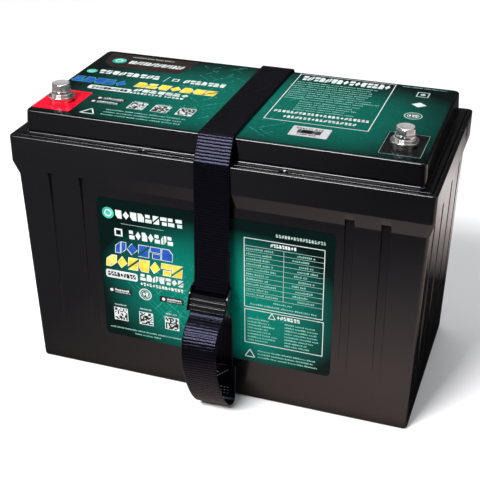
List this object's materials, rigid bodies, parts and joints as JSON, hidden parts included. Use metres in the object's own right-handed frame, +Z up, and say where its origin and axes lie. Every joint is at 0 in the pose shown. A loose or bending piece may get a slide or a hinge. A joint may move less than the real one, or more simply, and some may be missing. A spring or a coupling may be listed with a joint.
{
  "type": "battery pack",
  "caption": "Sealed rectangular battery in a moulded case with bolted terminals, printed labels and a webbing carry strap with a ladder buckle.",
  "frame": {"origin": "centre of the case's footprint, on the floor", "axes": "+Z up; +X along the long side towards the negative terminal; -Y out of the labelled front"},
  "size_m": [0.318, 0.2041, 0.2308],
  "materials": {
    "case_plastic": "satin",
    "lid_plastic": "satin",
    "bond": "matte",
    "top_print": "gloss",
    "front_print": "gloss",
    "red_print": "gloss",
    "black_print": "gloss",
    "white_print": "gloss",
    "terminal_metal": "satin",
    "fastener": "satin",
    "webbing": "matte",
    "buckle_plastic": "satin",
    "cell_can": "satin",
    "insulation": "matte",
    "plate_metal": "satin",
    "band_steel": "satin",
    "link_metal": "satin",
    "copper": "satin",
    "circuit_board": "satin",
    "component_black": "matte",
    "connector": "satin",
    "red_cable": "satin",
    "black_cable": "satin",
    "harness": "satin",
    "foam": "matte"
  },
  "bodies": {
    "case": {"container": "case_plastic", "lid": "lid_plastic", "lid_bond": "bond", "top_label": "top_print", "front_label": "front_print", "positive_pad_label": "red_print", "negative_pad_label": "black_print", "serial_sticker": "white_print", "positive_terminal": "terminal_metal", "negative_terminal": "terminal_metal", "terminal_nuts": "fastener", "strap_band": "webbing", "cell_1": "cell_can", "cell_2": "cell_can", "cell_3": "cell_can", "cell_4": "cell_can", "cell_sheets": "insulation", "end_plate_left": "plate_metal", "end_plate_right": "plate_metal", "compression_bands": "band_steel", "cell_links": "link_metal", "output_tabs": "copper", "insulation_board": "insulation", "bms_heat_sink": "plate_metal", "bms_board": "circuit_board", "bms_transistors": "component_black", "bms_connector": "connector", "bms_standoffs": "copper", "bms_screws": "fastener", "positive_cable": "red_cable", "negative_cable": "black_cable", "cell_negative_cable": "black_cable", "cable_lugs": "copper", "balance_harness": "harness", "temperature_sensor": "component_black", "base_pad": "foam", "side_pads": "foam", "end_spacer": "foam"},
    "positive_washers": {"positive_flat_washer": "fastener", "positive_spring_washer": "fastener"},
    "positive_bolt": {"positive_bolt": "fastener"},
    "negative_washers": {"negative_flat_washer": "fastener", "negative_spring_washer": "fastener"},
    "negative_bolt": {"negative_bolt": "fastener"},
    "buckle": {"strap_buckle": "buckle_plastic", "strap_turn": "webbing"},
    "tail": {"strap_tail": "webbing"}
  },
  "joints": [
    {"name": "positive_bolt_rise", "type": "slide", "parent": "case", "child": "positive_washers", "axis": [0, 0, 1], "range_m": [0, 0.0125]},
    {"name": "positive_bolt_turn", "type": "hinge", "parent": "positive_washers", "child": "positive_bolt", "pos_m": [-0.1313, -0.0462, 0.23], "axis": [0, 0, 1], "range_deg": [0, 3600.5]},
    {"name": "negative_bolt_rise", "type": "slide", "parent": "case", "child": "negative_washers", "axis": [0, 0, 1], "range_m": [0, 0.0125]},
    {"name": "negative_bolt_turn", "type": "hinge", "parent": "negative_washers", "child": "negative_bolt", "pos_m": [0.1285, -0.0462, 0.23], "axis": [0, 0, 1], "range_deg": [0, 3600.5]},
    {"name": "buckle_tilt", "type": "hinge", "parent": "case", "child": "buckle", "pos_m": [0.0018, -0.0854, 0.1], "axis": [-1, 0, 0], "range_deg": [0, 40]},
    {"name": "tail_swing", "type": "hinge", "parent": "buckle", "child": "tail", "pos_m": [0.0018, -0.0994, 0.0812], "axis": [-1, 0, 0], "range_deg": [0, 60]}
  ],
  "couplings": [
    {"joint": "positive_bolt_turn", "follows": "positive_bolt_rise", "rad_per_m": 5026.5},
    {"joint": "negative_bolt_turn", "follows": "negative_bolt_rise", "rad_per_m": 5026.5}
  ]
}
